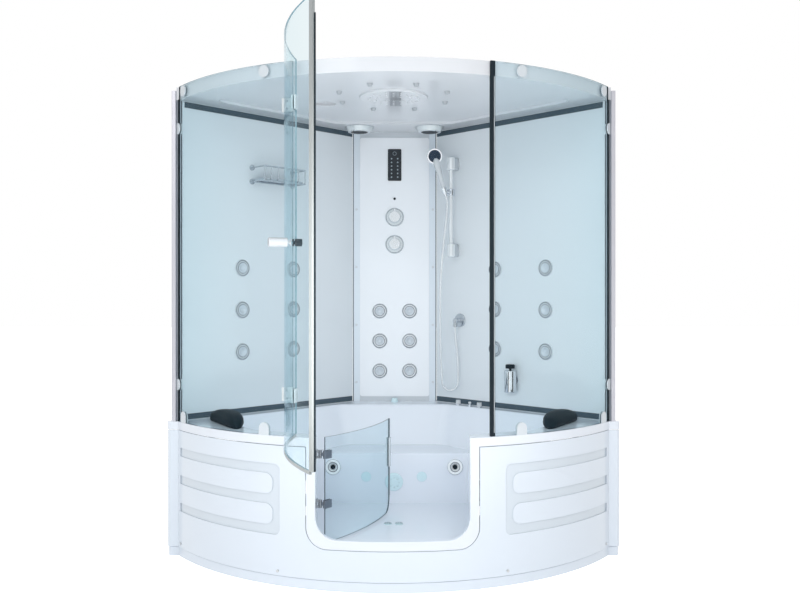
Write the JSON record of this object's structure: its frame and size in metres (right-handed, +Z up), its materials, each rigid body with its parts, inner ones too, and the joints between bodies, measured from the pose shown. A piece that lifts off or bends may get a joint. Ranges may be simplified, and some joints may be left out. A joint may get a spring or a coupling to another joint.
{
  "type": "steam shower cabin",
  "caption": "Corner steam shower cabin with a jetted bath base, curved glass front, swinging doors, body jets, hand shower on a slide rail and a column with controls.",
  "frame": {"origin": "on the floor at the centre foot's underside, midway between the bath's two front corners", "axes": "+Z up, +Y from the curved front to the room corner, +X to the right as seen from the front"},
  "size_m": [2.114, 2.3323, 2.185],
  "materials": {
    "acrylic": "gloss white sanitary acrylic",
    "ceiling": "pale grey acrylic",
    "wall_panel": "pale blue-grey wall panel",
    "profile": "satin anodised profile",
    "brushed_trim": "brushed trim strip",
    "cap": "pale moulded plastic",
    "dark_strip": "dark slate sealing strip",
    "gasket": "black seal",
    "clear_seal": "clear seal strip",
    "glass": "clear toughened glass",
    "chrome": "polished chrome",
    "plated_plastic": "chrome plated moulding",
    "steel": "zinc plated steel",
    "frame_paint": "grey painted steel",
    "clamp": "white clamp",
    "rosette": "satin jet ring",
    "nozzle": "grey jet eye",
    "display": "black key panel",
    "pillow": "black soft foam skin",
    "fitting": "pale fitting",
    "pump": "dark grey housing",
    "appliance": "white case"
  },
  "bodies": {
    "root": {"tub_shell": "acrylic", "front_apron": "acrylic", "lower_skirt": "acrylic", "apron_screws": "steel", "base_frame": "frame_paint", "levelling_feet": "steel", "left_wall": "wall_panel", "right_wall": "wall_panel", "wall_frames": "profile", "wall_strips": "dark_strip", "front_posts": "profile", "column_housing": "profile", "column_panel": "acrylic", "column_trims": "brushed_trim", "trim_screw_caps": "cap", "display_panel": "display", "jet_rosettes": "rosette", "jet_nozzles": "nozzle", "roof_shell": "ceiling", "rain_head": "ceiling", "ceiling_nozzles": "plated_plastic", "ceiling_lights": "plated_plastic", "fan_housing": "ceiling", "left_glass": "glass", "right_glass": "glass", "glass_gaskets": "gasket", "pane_clamps": "clamp", "left_pillow": "pillow", "right_pillow": "pillow", "hydro_jets": "fitting", "tub_fittings": "fitting", "jet_pump": "pump", "steam_generator": "appliance", "mixer_valve": "chrome", "door_hinge_mounts": "chrome", "tub_door_hinges": "chrome", "slide_rail": "chrome", "shower_hose": "chrome", "hose_outlet": "chrome", "shelf": "chrome", "soap_dispenser": "chrome", "deck_fittings": "chrome"},
    "door": {"door_glass": "glass", "door_seals": "gasket", "door_hinge_leaves": "chrome", "door_handle": "chrome"},
    "tub_door": {"tub_door_glass": "glass", "tub_door_seal": "clear_seal", "tub_door_clamps": "chrome", "tub_door_handle": "clamp"},
    "temperature_knob": {"temperature_knob": "chrome"},
    "diverter_knob": {"diverter_knob": "chrome"},
    "slider": {"rail_slider": "plated_plastic"},
    "holder": {"handset_holder": "plated_plastic", "hand_shower": "plated_plastic"},
    "fan_rotor": {"fan_rotor": "cap"},
    "soap_cap": {"soap_cap": "gasket"},
    "left_air_knob": {"left_air_knob": "plated_plastic"},
    "right_air_knob": {"right_air_knob": "plated_plastic"},
    "deck_button": {"deck_button": "plated_plastic"}
  },
  "joints": [
    {"name": "door_swing", "type": "hinge", "parent": "root", "child": "door", "pos_m": [-0.41, -0.47555, 1.402], "axis": [0, 0, 1], "range_deg": [-16, 79]},
    {"name": "tub_door_swing", "type": "hinge", "parent": "root", "child": "tub_door", "pos_m": [-0.303, -0.448, 0.447], "axis": [0, 0, 1], "range_deg": [-65, 14]},
    {"name": "temperature_turn", "type": "hinge", "parent": "root", "child": "temperature_knob", "pos_m": [0, 0.74, 1.649], "axis": [0, -1, 0], "range_deg": [-120, 120]},
    {"name": "diverter_turn", "type": "hinge", "parent": "root", "child": "diverter_knob", "pos_m": [0, 0.74, 1.498], "axis": [0, -1, 0], "range_deg": [-120, 120]},
    {"name": "slider_travel", "type": "slide", "parent": "root", "child": "slider", "axis": [0, 0, 1], "range_m": [-0.25, 0.07], "deforming": ["shower_hose"]},
    {"name": "holder_tilt", "type": "hinge", "parent": "slider", "child": "holder", "pos_m": [0.28799, 0.5901, 1.768], "axis": [-0.5827, -0.8127, 0], "range_deg": [-12, 12], "deforming": ["shower_hose"]},
    {"name": "fan_spin", "type": "hinge", "parent": "root", "child": "fan_rotor", "pos_m": [-0.33, 0.12, 2.162], "axis": [0, 0, 1], "continuous": true},
    {"name": "soap_press", "type": "slide", "parent": "root", "child": "soap_cap", "axis": [0, 0, -1], "range_m": [0, 0.009], "stiffness_N_per_m": 400, "springref_m": -0.004},
    {"name": "left_air_turn", "type": "hinge", "parent": "root", "child": "left_air_knob", "pos_m": [0.3426, 0.5874, 0.64], "axis": [0, 0, 1], "range_deg": [-90, 90]},
    {"name": "right_air_turn", "type": "hinge", "parent": "root", "child": "right_air_knob", "pos_m": [0.446, 0.484, 0.64], "axis": [0, 0, 1], "range_deg": [-90, 90]},
    {"name": "deck_button_press", "type": "slide", "parent": "root", "child": "deck_button", "axis": [0, 0, -1], "range_m": [0, 0.005], "stiffness_N_per_m": 400, "springref_m": -0.004}
  ]
}
